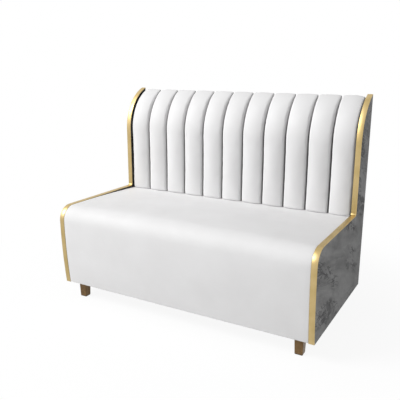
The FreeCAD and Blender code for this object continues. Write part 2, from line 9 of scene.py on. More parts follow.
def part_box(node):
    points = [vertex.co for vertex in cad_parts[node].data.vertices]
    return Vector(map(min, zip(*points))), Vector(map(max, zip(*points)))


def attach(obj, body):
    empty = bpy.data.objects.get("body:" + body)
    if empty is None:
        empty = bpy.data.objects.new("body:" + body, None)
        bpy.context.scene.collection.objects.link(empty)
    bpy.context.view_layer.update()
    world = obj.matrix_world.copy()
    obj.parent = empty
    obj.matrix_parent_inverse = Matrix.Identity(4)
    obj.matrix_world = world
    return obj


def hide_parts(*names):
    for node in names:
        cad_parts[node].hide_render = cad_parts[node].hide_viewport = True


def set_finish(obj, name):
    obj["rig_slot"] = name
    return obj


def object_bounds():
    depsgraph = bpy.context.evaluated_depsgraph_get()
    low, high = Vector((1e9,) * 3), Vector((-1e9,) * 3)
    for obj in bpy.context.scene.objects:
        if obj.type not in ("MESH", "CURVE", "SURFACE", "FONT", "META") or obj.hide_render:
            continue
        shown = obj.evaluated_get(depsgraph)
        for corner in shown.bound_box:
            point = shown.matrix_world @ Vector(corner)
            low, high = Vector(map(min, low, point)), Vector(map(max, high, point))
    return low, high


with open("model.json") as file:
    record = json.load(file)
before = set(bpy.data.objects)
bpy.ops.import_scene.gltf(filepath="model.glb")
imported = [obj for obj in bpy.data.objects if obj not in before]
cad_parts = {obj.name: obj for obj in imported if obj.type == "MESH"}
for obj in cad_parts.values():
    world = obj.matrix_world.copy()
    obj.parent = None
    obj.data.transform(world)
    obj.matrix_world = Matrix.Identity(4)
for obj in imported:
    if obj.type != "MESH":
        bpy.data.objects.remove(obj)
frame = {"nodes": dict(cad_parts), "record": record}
cad_low, cad_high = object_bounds()
nodes = frame["nodes"]

# Sizes from the frame, in metres, to a tenth of a millimetre
PANEL_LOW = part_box("left_outer_facing")[0]
PANEL_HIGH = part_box("left_inner_facing")[1]
REAR_LOW, REAR_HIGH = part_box("rear_panel_cover")
CLOTH_LOW, CLOTH_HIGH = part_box("dust_cloth")
LENGTH = round(cad_high[0] - cad_low[0], 4)
FRONT_Y = round(cad_low[1], 4)
REAR_Y = round(cad_high[1], 4)
TOP_Z = round(cad_high[2], 4)
FOOT_Z = round(PANEL_LOW.z, 4)
PANEL_THICKNESS = round(PANEL_HIGH.x - PANEL_LOW.x, 4)
REAR_FACE_Y = round(REAR_HIGH.y, 4)

# Other sizes that the soft forms and the trim share with the solids
INSIDE_X = LENGTH / 2 - PANEL_THICKNESS
SEAT_Z = 0.440
FRONT_LEAN = 0.018  # the foot of the front edge lies this far behind its foremost point
FRONT_RADIUS = 0.065
INNER_RADIUS = 0.010  # where the seat line turns up into the back
BACK_Y = 0.188
BACK_DEPTH = REAR_Y - BACK_Y
ROLL_RADIUS = 0.220  # bend that leads the upright back to the rear top corner
CHANNEL_BACK_Y = 0.223
SPRING_Z = SEAT_Z - FRONT_RADIUS
FRONT_BOW = ((SPRING_Z - FOOT_Z) ** 2 + FRONT_LEAN**2) / (2 * FRONT_LEAN)
BOW_CENTRE = (FRONT_Y + FRONT_BOW, SPRING_Z)
ROLL_CENTRE = (BACK_Y + ROLL_RADIUS, TOP_Z - math.sqrt(2 * BACK_DEPTH * ROLL_RADIUS - BACK_DEPTH**2))
GAP = 0.0003  # between a soft piece and its neighbours

# Edge trim
TRIM_THICKNESS = 0.0015
TRIM_ROUNDING = 0.0005
TRIM_BEVEL = 0.3 * TRIM_ROUNDING  # where the middle of the rounding lies, from both faces
TRIM_CREASE = 50  # degrees from which an edge of the strip stays sharp
TRIM_BEND_STEPS = 24
TRIM_FLAT_STEPS = 12
TRIM_TURN_STEPS = 10
TRIM_ROLL_STEPS = 40

# Seat cover
SHELF_Z = 0.428  # the seat's rear edge, on which the channels stand
TUCK_Y = CHANNEL_BACK_Y
TUCK_DEPTH = 0.060
HEM_WIDTH = 0.023
HEM_RADIUS = 0.005
SEAT_CROWN = 0.008  # rise of the seat's middle over its ends
END_DRAW = 0.0015  # the cover is drawn in by this much at each end
END_ROLL = 0.030  # length of the rounding at each end
END_SHARES = (0.0, 0.04, 0.12, 0.25, 0.42, 0.62, 0.82)  # of that length, where the cover has a row
COVER_THICKNESS = 0.0015
SEAT_SWELL = 0.005  # furthest that the padding pushes the cover out
SEAT_PRESSURE = 0.5
SEAT_STEP = 0.014  # about the distance from one row of points to the next
HEM_STEPS = 3
HEM_BEND_STEPS = 4
APRON_STEPS = 40
SEAT_BEND_STEPS = 14
SEAT_TOP_STEPS = 46
SHELF_STEPS = 4
TUCK_STEPS = 6
HEM_COLUMNS = HEM_STEPS + HEM_BEND_STEPS + 1  # points from the hem's inner edge to the apron
TUCK_COLUMNS = SHELF_STEPS + TUCK_STEPS  # points behind the seat's rear edge

# Back channels
CHANNEL_COUNT = 11
CHANNEL_PITCH = 2 * INSIDE_X / CHANNEL_COUNT
CHANNEL_HALF = (CHANNEL_PITCH - GAP) / 2
CHANNEL_SIDE = 0.016
CHANNEL_CROWN = 0.0175
CHANNEL_EASE = 0.003  # the sides lean in by this much, which keeps the grooves open
SHOULDER_RADIUS = 0.013
CHANNEL_FOOT = SHELF_Z + GAP
BASE_RADIUS = ROLL_RADIUS - (CHANNEL_BACK_Y - BACK_Y)
SIDE_STEPS = 4
SHOULDER_STEPS = 7
CROWN_STEPS = 12
BASE_STEPS = 5
UPRIGHT_STEPS = 28
ROLL_STEPS = 30
REAR_ROUNDING = 0.05  # share of the roll over which the rear end is drawn in
REAR_DRAW = 0.004
REAR_SHARES = (0.95, 0.96, 0.97, 0.98, 0.987, 0.993, 0.997, 1.0)  # of the roll, where the rear end has a row
FILL_START = 0.35  # share of the roll from which the grooves get shallower
REAR_FILL = 0.72  # share of a groove's depth that is lost at the rear
FOOT_ROUNDING = 0.014  # height over which the foot is drawn in
FOOT_DRAW = 0.008
FOOT_SHARES = (0.0, 0.06, 0.2, 0.42, 0.7)  # of that height, where the foot has a row
CHANNEL_SWELL = 0.003  # furthest that the padding pushes a channel out
CHANNEL_PRESSURE = 4.0
CHANNEL_SLACK = 0.006  # share by which the leather is cut larger
PUCKER = 0.0006  # deepest of the small creases along the seams
PUCKER_LENGTH = 0.022  # from one small crease along a seam to the next
PUCKER_REACH = 2 * SHOULDER_RADIUS  # length of a crease
PUCKER_SHIFT = 7.3  # gives each channel its own creases
PAINTED_SHADE_TOP = CHANNEL_SIDE + 0.6 * SHOULDER_RADIUS  # height at which the painted shade in the grooves ends
PAINTED_SHADE_BLUR = 0.9 * SHOULDER_RADIUS  # height over which it fades
PAINTED_SHADE_FADE = 0.95  # share of the painted groove shade that is lost at the top

# Rear panel and dust cloth
REAR_COLUMNS = 60
REAR_ROWS = 42
REAR_WAVE = 0.0012  # deepest of the slight waves in the stretched rear cover
REAR_WAVE_SCALE = 3
REAR_WAVE_SEED = 4.0
REAR_WAVE_EDGE = 0.08  # width of the rim over which the waves die away
CLOTH_THICKNESS = 0.0006
CLOTH_SAG = 0.006
CLOTH_COLUMNS = 50
CLOTH_ROWS = 26
CLOTH_RIPPLES = (6, 9)  # how close the ripples are along X and along Y
LEG_GAP = 0.0003  # between the dust cloth and a leg or a rail

# Cloth simulation
SETTLE_FRAMES = 20
BENDING_STIFFNESS = 4.0
STRETCH_STIFFNESS = 25


def arc(centre, radius, start, end, count):
    """(y, z) points on an arc about centre, between two angles in degrees from +Y towards +Z."""
    turns = [math.radians(start + (end - start) * n / count) for n in range(count + 1)]
    return [(centre[0] + radius * math.cos(t), centre[1] + radius * math.sin(t)) for t in turns]


def run(start, end, count):
    """Evenly spaced points on a straight line."""
    first, last = Vector(start), Vector(end)
    return [tuple(first.lerp(last, n / count)) for n in range(count + 1)]


def spread(start, end, count):
    """Evenly spaced values from start to end."""
    return [value for value, _ in run((start, 0.0), (end, 0.0), count)]


def join(*runs):
    """One line of points through runs that each start where the one before ends."""
    points = list(runs[0])
    for part in runs[1:]:
        points += part[1:]
    return points


def front_angle(inset, z):
    """Degrees at which the bow of the front, moved in by inset, passes a height."""
    return 180 + math.degrees(math.asin((SPRING_Z - z) / (FRONT_BOW - inset)))


def roll_turn(radius, y):
    """Degrees from the upright to where an arc of the roll passes a depth."""
    return math.degrees(math.acos((ROLL_CENTRE[0] - y) / radius))


def grid(name, rows, ring=False, capped=False, skip=None):
    """A piece of quads through rows of points.

    A ring joins the ends of each row, caps close the first and the last row, and skip leaves out quads.
    """
    count = len(rows[0])
    columns = count if ring else count - 1
    faces = []
    for r in range(len(rows) - 1):
        for c in range(columns):
            if skip and skip(r, c):
                continue
            d = (c + 1) % count
            faces.append((r * count + c, r * count + d, (r + 1) * count + d, (r + 1) * count + c))
    if capped:
        faces.append(tuple(range(count)))
        faces.append(tuple(range((len(rows) - 1) * count, len(rows) * count)))
    mesh = bpy.data.meshes.new(name)
    mesh.from_pydata([p for row in rows for p in row], [], faces)
    return piece_of(name, mesh)


def piece_of(name, mesh):
    """A smooth-shaded piece whose faces all look outwards, without loose points."""
    work = bmesh.new()
    work.from_mesh(mesh)
    loose = [v for v in work.verts if not v.link_faces]
    bmesh.ops.delete(work, geom=loose, context="VERTS")
    bmesh.ops.recalc_face_normals(work, faces=work.faces)
    work.to_mesh(mesh)
    work.free()
    mesh.polygons.foreach_set("use_smooth", [True] * len(mesh.polygons))
    piece = bpy.data.objects.new(name, mesh)
    bpy.context.collection.objects.link(piece)
    return piece


def face_towards(piece, direction):
    """Turns an open skin over if most of it looks the other way."""
    total = sum((p.normal * p.area for p in piece.data.polygons), Vector())
    if total.dot(Vector(direction)) < 0:
        piece.data.flip_normals()


def soften(piece, thickness=None):
    """Gives a skin its thickness and rounds what is left of its facets."""
    if thickness:
        skin = piece.modifiers.new("thickness", "SOLIDIFY")
        skin.thickness = thickness
        skin.offset = -1
    smooth = piece.modifiers.new("smooth", "SUBSURF")
    smooth.levels = 1
    smooth.render_levels = 1


def fit(piece, slot, *replaced):
    """A piece stands for CAD nodes, rides on the bench and takes its finish from a slot."""
    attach(piece, "root")
    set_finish(piece, slot)
    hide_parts(*replaced)


def settle(piece, held, cap, pressure, slack):
    """Lets a leather skin swell as cloth, except at held points.

    The swell is scaled down as a whole where it would go further than cap.
    """
    group = piece.vertex_groups.new(name="held")
    group.add(held, 1.0, "REPLACE")
    before = [v.co.copy() for v in piece.data.vertices]
    cloth = piece.modifiers.new("settle", "CLOTH")
    cloth.point_cache.frame_start = 1
    cloth.point_cache.frame_end = SETTLE_FRAMES
    leather = cloth.settings
    leather.vertex_group_mass = "held"
    leather.effector_weights.gravity = 0
    leather.use_pressure = True
    leather.uniform_pressure_force = pressure
    leather.shrink_min = -slack
    leather.bending_stiffness = BENDING_STIFFNESS
    leather.tension_stiffness = STRETCH_STIFFNESS
    leather.compression_stiffness = STRETCH_STIFFNESS
    scene = bpy.context.scene
    for number in range(SETTLE_FRAMES):
        scene.frame_set(number + 1)
    shaped = piece.evaluated_get(bpy.context.evaluated_depsgraph_get())
    after = [v.co.copy() for v in shaped.data.vertices]
    piece.modifiers.remove(cloth)
    largest = max((end - start).length for start, end in zip(before, after))
    share = min(1.0, cap / largest)
    for vertex, start, end in zip(piece.data.vertices, before, after):
        vertex.co = start.lerp(end, share)
    scene.frame_set(1)


# Edge trim


def trim_line(inset):
    """(y, z) points along a panel's front and upper edge, moved in by inset."""
    corner = (FRONT_Y + FRONT_RADIUS, SPRING_Z)
    turn = (BACK_Y - INNER_RADIUS, SEAT_Z + INNER_RADIUS)
    roll = ROLL_RADIUS - inset
    return join(
        arc(BOW_CENTRE, FRONT_BOW - inset, front_angle(inset, FOOT_Z), 180, TRIM_BEND_STEPS),
        arc(corner, FRONT_RADIUS - inset, 180, 90, TRIM_BEND_STEPS),
        run((corner[0], SEAT_Z - inset), (turn[0], SEAT_Z - inset), TRIM_FLAT_STEPS),
        arc(turn, INNER_RADIUS + inset, -90, 0, TRIM_TURN_STEPS),
        run((BACK_Y + inset, turn[1]), (BACK_Y + inset, ROLL_CENTRE[1]), TRIM_FLAT_STEPS),
        arc(ROLL_CENTRE, roll, 180, 180 - roll_turn(roll, REAR_Y), TRIM_ROLL_STEPS),
    )


def trim_strip(side_name, side):
    """The metal strip on one panel's edge, with rounded long edges."""
    low = min(side * INSIDE_X, side * LENGTH / 2)
    high = low + PANEL_THICKNESS
    section = [
        (low, TRIM_THICKNESS),
        (low, TRIM_ROUNDING),
        (low + TRIM_BEVEL, TRIM_BEVEL),
        (low + TRIM_ROUNDING, 0.0),
        (high - TRIM_ROUNDING, 0.0),
        (high - TRIM_BEVEL, TRIM_BEVEL),
        (high, TRIM_ROUNDING),
        (high, TRIM_THICKNESS),
    ]
    lines = {depth: trim_line(depth) for x, depth in section}
    count = len(lines[0.0])
    rows = [[(x, *lines[depth][n]) for x, depth in section] for n in range(count)]
    piece = grid(side_name + "_trim_strip", rows, ring=True, capped=True)
    piece.data.set_sharp_from_angle(angle=math.radians(TRIM_CREASE))
    fit(piece, "gold_trim", side_name + "_edge_trim")
    return piece


# Seat


def seat_stations():
    """X places of the seat's rows, closer together at the ends."""
    half = INSIDE_X - GAP
    ends = [END_ROLL * share for share in END_SHARES]
    count = round((half - END_ROLL) / SEAT_STEP)
    inner = [END_ROLL + (half - END_ROLL) * n / count for n in range(count)]
    right = [half - distance for distance in ends + inner]
    return [-x for x in right] + [0.0] + right[::-1]


def seat_line(x):
    """(y, z) points of the seat cover at a place along the bench, from the hem to the rear tuck."""
    share = max(0.0, 1 - (INSIDE_X - GAP - abs(x)) / END_ROLL)
    draw = END_DRAW * (1 - math.sqrt(1 - share**2))
    crown = SEAT_CROWN * (1 - (x / INSIDE_X) ** 2)
    radius = FRONT_RADIUS + crown - draw
    corner = (FRONT_Y + draw + radius, SPRING_Z)
    reach = BACK_Y - corner[0]
    fall = 2 * math.atan((SPRING_Z + radius - SHELF_Z) / reach)
    sweep = reach / math.sin(fall)
    bow = arc(BOW_CENTRE, FRONT_BOW - draw, front_angle(draw, FOOT_Z + HEM_RADIUS), 180, APRON_STEPS)
    hem = (bow[0][0] + HEM_RADIUS, bow[0][1])
    return join(
        run((bow[0][0] + HEM_WIDTH, FOOT_Z), (hem[0], FOOT_Z), HEM_STEPS),
        arc(hem, HEM_RADIUS, 270, 180, HEM_BEND_STEPS),
        bow,
        arc(corner, radius, 180, 90, SEAT_BEND_STEPS),
        arc((corner[0], SPRING_Z + radius - sweep), sweep, 90, 90 - math.degrees(fall), SEAT_TOP_STEPS),
        run((BACK_Y, SHELF_Z), (TUCK_Y, SHELF_Z), SHELF_STEPS),
        run((TUCK_Y, SHELF_Z), (TUCK_Y, SHELF_Z - TUCK_DEPTH), TUCK_STEPS),
    )


def seat_held(rows):
    """Numbers of the cover's points that are fixed to the frame: the two ends, the hem and the tuck."""
    count = len(rows[0])
    last = len(rows) - 1
    ends = [r * count + c for r in (0, last) for c in range(count)]
    fixed = [*range(HEM_COLUMNS), *range(count - TUCK_COLUMNS, count)]
    borders = [r * count + c for r in range(len(rows)) for c in fixed]
    return sorted(set(ends + borders))


def make_seat():
    """The waterfall seat: one leather cover from the hem, up the apron and over the seat."""
    rows = [[(x, y, z) for y, z in seat_line(x)] for x in seat_stations()]
    seat = grid("seat_leather", rows)
    face_towards(seat, (0, -1, 1))
    settle(seat, seat_held(rows), SEAT_SWELL, SEAT_PRESSURE, 0.0)
    soften(seat, COVER_THICKNESS)
    fit(seat, "white_leather", "seat_cover", "seat_foam", "front_foam")
    return seat


# Back


def channel_section():
    """(x, height) points round a channel, from its left foot over the crown and back along its base."""
    shoulder_x = CHANNEL_HALF - CHANNEL_EASE - SHOULDER_RADIUS
    bulge = CHANNEL_CROWN - SHOULDER_RADIUS
    crown_radius = (shoulder_x**2 + CHANNEL_CROWN**2 - SHOULDER_RADIUS**2) / (2 * bulge)
    crown_low = CHANNEL_SIDE + CHANNEL_CROWN - crown_radius
    lean = math.degrees(math.atan2(shoulder_x, crown_radius - CHANNEL_CROWN))
    left = arc((-shoulder_x, CHANNEL_SIDE), SHOULDER_RADIUS, 180, 90 + lean, SHOULDER_STEPS)
    crown = arc((0.0, crown_low), crown_radius, 90 + lean, 90 - lean, CROWN_STEPS)
    right = arc((shoulder_x, CHANNEL_SIDE), SHOULDER_RADIUS, 90 - lean, 0, SHOULDER_STEPS)
    up = run((-CHANNEL_HALF, 0.0), left[0], SIDE_STEPS)
    down = run(right[-1], (CHANNEL_HALF, 0.0), SIDE_STEPS)
    base = run((CHANNEL_HALF, 0.0), (-CHANNEL_HALF, 0.0), BASE_STEPS)
    return join(up, left, crown, right, down, base)[:-1]


def channel_rows(number, middle):
    """Rows of points of one channel, from the seat up the back and round the roll to the rear."""
    section = channel_section()
    levels = [CHANNEL_FOOT + FOOT_ROUNDING * share for share in FOOT_SHARES]
    levels += spread(CHANNEL_FOOT + FOOT_ROUNDING, ROLL_CENTRE[1], UPRIGHT_STEPS)
    shares = [n / ROLL_STEPS for n in range(1, ROLL_STEPS - 1)]
    shares += REAR_SHARES
    upright = [upright_row(number, middle, section, z) for z in levels]
    return upright + [rolled_row(number, middle, section, share) for share in shares]


def against_panel(number, x):
    """True on the outer side of the first and the last channel."""
    return (number == 0 and x < 0) or (number == CHANNEL_COUNT - 1 and x > 0)


def filled(number, x, h, share):
    """Height of a point of the section on the roll, where the grooves get shallower towards the rear."""
    if against_panel(number, x):
        return h
    rise = max(0.0, (share - FILL_START) / (1 - FILL_START))
    fill = REAR_FILL * rise * rise * (3 - 2 * rise)
    if h < CHANNEL_SIDE:
        return h * (1 + fill * CHANNEL_CROWN / CHANNEL_SIDE)
    return h + fill * (CHANNEL_SIDE + CHANNEL_CROWN - h)


def drawn_in(draw, share):
    """What is left of a channel's height where its end is drawn in; share is 0 inside and 1 at the end."""
    crown = CHANNEL_SIDE + CHANNEL_CROWN
    return 1 - draw * (1 - math.sqrt(1 - share**2)) / crown


def upright_row(number, middle, section, z):
    """A level row of a channel; near the seat its front is drawn in."""
    scale = drawn_in(FOOT_DRAW, max(0.0, 1 - (z - CHANNEL_FOOT) / FOOT_ROUNDING))
    heights = [(x, h * scale - pucker(number, x, h, z)) for x, h in section]
    return [(middle + x, CHANNEL_BACK_Y - h, z) for x, h in heights]


def rolled_row(number, middle, section, share):
    """A row of a channel on the roll, from 0 at its foot to 1 at the rear face."""
    scale = drawn_in(REAR_DRAW, max(0.0, (share - 1) / REAR_ROUNDING + 1))
    row = []
    for x, h in section:
        end = math.radians(roll_turn(BASE_RADIUS + h, REAR_FACE_Y))
        along = ROLL_CENTRE[1] + share * end * BASE_RADIUS
        radius = BASE_RADIUS + filled(number, x, h, share) * scale - pucker(number, x, h, along)
        turn = share * math.acos((ROLL_CENTRE[0] - REAR_FACE_Y) / radius)
        y = ROLL_CENTRE[0] - radius * math.cos(turn)
        row.append((middle + x, y, ROLL_CENTRE[1] + radius * math.sin(turn)))
    return row


def pucker(number, x, h, along):
    """Depth of the small creases that run from a seam into the padding."""
    if h < CHANNEL_SIDE / 2:
        return 0.0
    near = max(0.0, 1 - (CHANNEL_HALF - abs(x)) / PUCKER_REACH)
    side = 1 if x > 0 else -1
    spot = Vector((along / PUCKER_LENGTH, PUCKER_SHIFT * number + side, 0.5))
    return PUCKER * near * noise.noise(spot)


def painted_shade_in_groove(number, x, h):
    """Painted shade in a groove: 1 deep in the groove, where the leather is sewn down, and 0 from half-way up
    a shoulder.
    """
    if against_panel(number, x):
        return 0.0
    return min(1.0, max(0.0, (PAINTED_SHADE_TOP - h) / PAINTED_SHADE_BLUR))


def painted_shade_fade(z):
    """Share of the painted groove shade that is left at a height; it gets less up the roll."""
    return 1 - PAINTED_SHADE_FADE * max(0.0, (z - ROLL_CENTRE[1]) / (TOP_Z - ROLL_CENTRE[1]))


def channel_held(rows, section):
    """Numbers of a channel's points that are sewn down: its sides, its base and its two ends."""
    count = len(section)
    last = len(rows) - 1
    fixed = [n for n, (x, h) in enumerate(section) if h <= CHANNEL_SIDE]
    inner = [r * count + n for r in range(len(rows)) for n in fixed]
    ends = [r * count + n for r in (0, 1, last - 1, last) for n in range(count)]
    return sorted(set(inner + ends))


def make_channel(number):
    """One padded strip of the back; its sides and base are held, and its front swells."""
    middle = (number - (CHANNEL_COUNT - 1) / 2) * CHANNEL_PITCH
    rows = channel_rows(number, middle)
    section = channel_section()
    channel = grid("channel_leather_%02d" % (number + 1), rows, ring=True, capped=True)
    # painted shade: how much each point's colour is darkened, deep in the grooves and less up the roll
    painted_shades = [painted_shade_in_groove(number, x, h) * painted_shade_fade(row[0][2]) for row in rows for x, h in section]
    channel.data.attributes.new("painted_groove_shade", "FLOAT", "POINT").data.foreach_set("value", painted_shades)
    settle(channel, channel_held(rows, section), CHANNEL_SWELL, CHANNEL_PRESSURE, CHANNEL_SLACK)
    soften(channel)
    fit(channel, "white_leather", "back_channel_%02d" % (number + 1))
    return channel


# Rear panel and dust cloth


def make_rear_cover():
    """Leather drawn over the rear board and turned round its edges."""
    low, high = REAR_LOW, REAR_HIGH
    xs = spread(low.x, high.x, REAR_COLUMNS)
    zs = spread(low.z, high.z, REAR_ROWS)
    rows = [[rear_point(x, z) for x in xs] for z in zs]
    sides = [[(low.x, low.y, row[0][2])] + row + [(high.x, low.y, row[0][2])] for row in rows]
    foot = [(x, low.y, low.z) for x, y, z in sides[0]]
    top = [(x, low.y, high.z) for x, y, z in sides[0]]
    cover = grid("rear_leather", [foot] + sides + [top])
    face_towards(cover, (0, 1, 0))
    soften(cover, COVER_THICKNESS)
    fit(cover, "white_leather", "rear_panel_cover")
    return cover


def rear_point(x, z):
    """A point of the rear cover, which is stretched flat but for slight waves."""
    low, high = REAR_LOW, REAR_HIGH
    edge = min(x - low.x, high.x - x, z - low.z, high.z - z)
    spot = Vector((x * REAR_WAVE_SCALE, z * REAR_WAVE_SCALE, REAR_WAVE_SEED))
    wave = REAR_WAVE * (0.5 + 0.5 * noise.noise(spot))
    return (x, high.y - wave * min(1.0, edge / REAR_WAVE_EDGE), z)


def leg_boxes():
    """The lowest and highest corner of each leg."""
    names = ("front_left", "front_right", "rear_left", "rear_right")
    return [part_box("leg_" + name) for name in names]


def make_dust_cloth():
    """The thin cloth under the frame, cut out round the legs, that sags a little between the rails."""
    low, high = CLOTH_LOW, CLOTH_HIGH
    legs = leg_boxes()
    edges_x = {round(v.x + side * LEG_GAP, 5) for box in legs for v, side in zip(box, (-1, 1))}
    edges_y = {round(v.y + side * LEG_GAP, 5) for box in legs for v, side in zip(box, (-1, 1))}
    inner_x = max(x for x in edges_x if x < 0)
    inner_y = (sorted(edges_y)[1], sorted(edges_y)[2])
    middle_x = spread(inner_x, -inner_x, CLOTH_COLUMNS)[1:-1]
    middle_y = spread(*inner_y, CLOTH_ROWS)[1:-1]
    xs = sorted([low.x, high.x, *edges_x] + middle_x)
    ys = sorted([low.y, high.y, *edges_y] + middle_y)
    rows = [[(x, y, high.z - LEG_GAP - cloth_sag(x, y)) for x in xs] for y in ys]

    def under_leg(r, c):
        x = (xs[c] + xs[c + 1]) / 2
        y = (ys[r] + ys[r + 1]) / 2
        return any(a.x - LEG_GAP < x < b.x + LEG_GAP and a.y - LEG_GAP < y < b.y + LEG_GAP for a, b in legs)

    cloth = grid("dust_cloth_sheet", rows, skip=under_leg)
    face_towards(cloth, (0, 0, -1))
    soften(cloth, CLOTH_THICKNESS)
    fit(cloth, "dust_cloth", "dust_cloth")
    return cloth


def cloth_sag(x, y):
    """How far the cloth hangs below its stapled edges, with a few soft ripples."""
    low, high = CLOTH_LOW, CLOTH_HIGH
    across = 1 - (2 * (x - low.x) / (high.x - low.x) - 1) ** 2
    along = 1 - (2 * (y - low.y) / (high.y - low.y) - 1) ** 2
    ripple = 0.8 + 0.2 * noise.noise(Vector((x * CLOTH_RIPPLES[0], y * CLOTH_RIPPLES[1], 0)))
    return CLOTH_SAG * across * along * ripple


# Materials

INNER_PAINTED_SHADE_LIGHTNESS = 0.25  # painted shade: lightness of the panels' inner sheets, as a share of the outer ones; the darker copy stands in for the shade in their recess
MARBLE_SHIFT = (0.0, 0.7, 0.4)  # puts a good stretch of the pattern on the panels
MARBLE_STRETCH = 3.2
MARBLE_LEAN = -22  # degrees


def new_material(name, roughness, metallic=0.0):
    """A material, its node tree and its shader."""
    material = bpy.data.materials.new(name)
    material.use_nodes = True
    shader = material.node_tree.nodes["Principled BSDF"]
    shader.inputs["Roughness"].default_value = roughness
    shader.inputs["Metallic"].default_value = metallic
    return material, material.node_tree, shader


def places(tree, scale=(1, 1, 1)):
    """Places on the bench in metres, stretched."""
    coords = tree.nodes.new("ShaderNodeTexCoord")
    mapping = tree.nodes.new("ShaderNodeMapping")
    mapping.inputs["Scale"].default_value = scale
    tree.links.new(coords.outputs["Object"], mapping.inputs["Vector"])
    return mapping.outputs["Vector"]


def streaked_places(tree):
    """Places on the panels, leant about X and drawn out along Y, for the marble's streaks."""
    coords = tree.nodes.new("ShaderNodeTexCoord")
    mapping = tree.nodes.new("ShaderNodeMapping")
    mapping.vector_type = "TEXTURE"
    mapping.inputs["Location"].default_value = MARBLE_SHIFT
    mapping.inputs["Scale"].default_value = (1.0, MARBLE_STRETCH, 1.0)
    mapping.inputs["Rotation"].default_value = (math.radians(MARBLE_LEAN), 0.0, 0.0)
    tree.links.new(coords.outputs["Object"], mapping.inputs["Vector"])
    return mapping.outputs["Vector"]


def clouds(tree, vector, scale, detail=3.0, roughness=0.5, distortion=0.0):
    """A cloudy value between 0 and 1."""
    node = tree.nodes.new("ShaderNodeTexNoise")
    node.inputs["Scale"].default_value = scale
    node.inputs["Detail"].default_value = detail
    node.inputs["Roughness"].default_value = roughness
    node.inputs["Distortion"].default_value = distortion
    tree.links.new(vector, node.inputs["Vector"])
    return node.outputs["Fac"]


def cells(tree, vector, scale):
    """Distance to the edge of the cell that a place lies in."""
    node = tree.nodes.new("ShaderNodeTexVoronoi")
    node.feature = "DISTANCE_TO_EDGE"
    node.inputs["Scale"].default_value = scale
    tree.links.new(vector, node.inputs["Vector"])
    return node.outputs["Distance"]


def ramp(tree, value, *stops):
    """Colours for a value, by (value, colour) stops; a plain number is a grey."""
    node = tree.nodes.new("ShaderNodeValToRGB")
    elements = node.color_ramp.elements
    while len(elements) < len(stops):
        elements.new(0.5)
    for element, (position, colour) in zip(elements, stops):
        element.position = position
        rgb = (colour,) * 3 if isinstance(colour, float) else colour
        element.color = (*rgb, 1.0)
    tree.links.new(value, node.inputs["Fac"])
    return node.outputs["Color"]


def blend(tree, first, second, share, mode="MIX"):
    """Two colours mixed; share is a number or a mask."""
    node = tree.nodes.new("ShaderNodeMix")
    node.data_type = "RGBA"
    node.blend_type = mode
    for socket, value in ((node.inputs[0], share), (node.inputs[6], first), (node.inputs[7], second)):
        if isinstance(value, bpy.types.NodeSocket):
            tree.links.new(value, socket)
        elif socket == node.inputs[0]:
            socket.default_value = value
        else:
            socket.default_value = (*value, 1.0)
    return node.outputs[2]


def bump(tree, shader, height, distance, strength=1.0):
    """Adds relief to a shader, over any relief that it already has."""
    node = tree.nodes.new("ShaderNodeBump")
    node.inputs["Strength"].default_value = strength
    node.inputs["Distance"].default_value = distance
    tree.links.new(height, node.inputs["Height"])
    if shader.inputs["Normal"].is_linked:
        tree.links.new(shader.inputs["Normal"].links[0].from_socket, node.inputs["Normal"])
    tree.links.new(node.outputs["Normal"], shader.inputs["Normal"])


def colour_with(tree, shader, socket):
    """Takes a shader's colour from a socket."""
    tree.links.new(socket, shader.inputs["Base Color"])


def roughness_with(tree, shader, socket):
    """Takes a shader's roughness from a socket."""
    tree.links.new(socket, shader.inputs["Roughness"])


def mix_shaders(tree, share, first, second, output):
    """Leads two shaders to an output, mixed by a mask."""
    mix = tree.nodes.new("ShaderNodeMixShader")
    tree.links.new(share, mix.inputs[0])
    tree.links.new(first.outputs[0], mix.inputs[1])
    tree.links.new(second.outputs[0], mix.inputs[2])
    tree.links.new(mix.outputs[0], tree.nodes[output].inputs["Surface"])


def leather():
    """Smooth white synthetic leather: fine pebbled grain, faint creases, a soft shine and painted shade deep
    in the grooves.
    """
    material, tree, shader = new_material("white_leather", 0.58)
    shader.inputs["Specular IOR Level"].default_value = 0.3
    spots = places(tree)
    tone = clouds(tree, spots, 7.0, 4.0)
    colour = ramp(tree, tone, (0.3, (0.775, 0.770, 0.772)), (0.7, (0.815, 0.812, 0.815)))
    # painted shade: the point attribute greys the leather deep in the grooves, where it stands in for their
    # shade
    painted_groove_shade = tree.nodes.new("ShaderNodeAttribute")
    painted_groove_shade.attribute_name = "painted_groove_shade"
    colour_with(tree, shader, blend(tree, colour, (0.30, 0.298, 0.30), painted_groove_shade.outputs["Fac"]))
    roughness_with(tree, shader, ramp(tree, clouds(tree, spots, 40.0, 4.0), (0.3, 0.52), (0.7, 0.64)))
    bump(tree, shader, clouds(tree, spots, 26.0, 3.0, 0.55), 0.0006)
    bump(tree, shader, cells(tree, spots, 620.0), 0.00012, 0.6)
    return material


def gold():
    """Satin brass-coloured metal with fine lengthwise brushing."""
    material, tree, shader = new_material("gold_trim", 0.44, 1.0)
    brushing = clouds(tree, places(tree, (1800, 10, 10)), 1.0, 2.0)
    patches = clouds(tree, places(tree), 18.0, 3.0)
    colour_with(tree, shader, ramp(tree, patches, (0.3, (0.48, 0.36, 0.155)), (0.7, (0.58, 0.445, 0.22))))
    roughness_with(tree, shader, ramp(tree, brushing, (0.25, 0.38), (0.75, 0.50)))
    bump(tree, shader, brushing, 0.00003, 0.5)
    return material


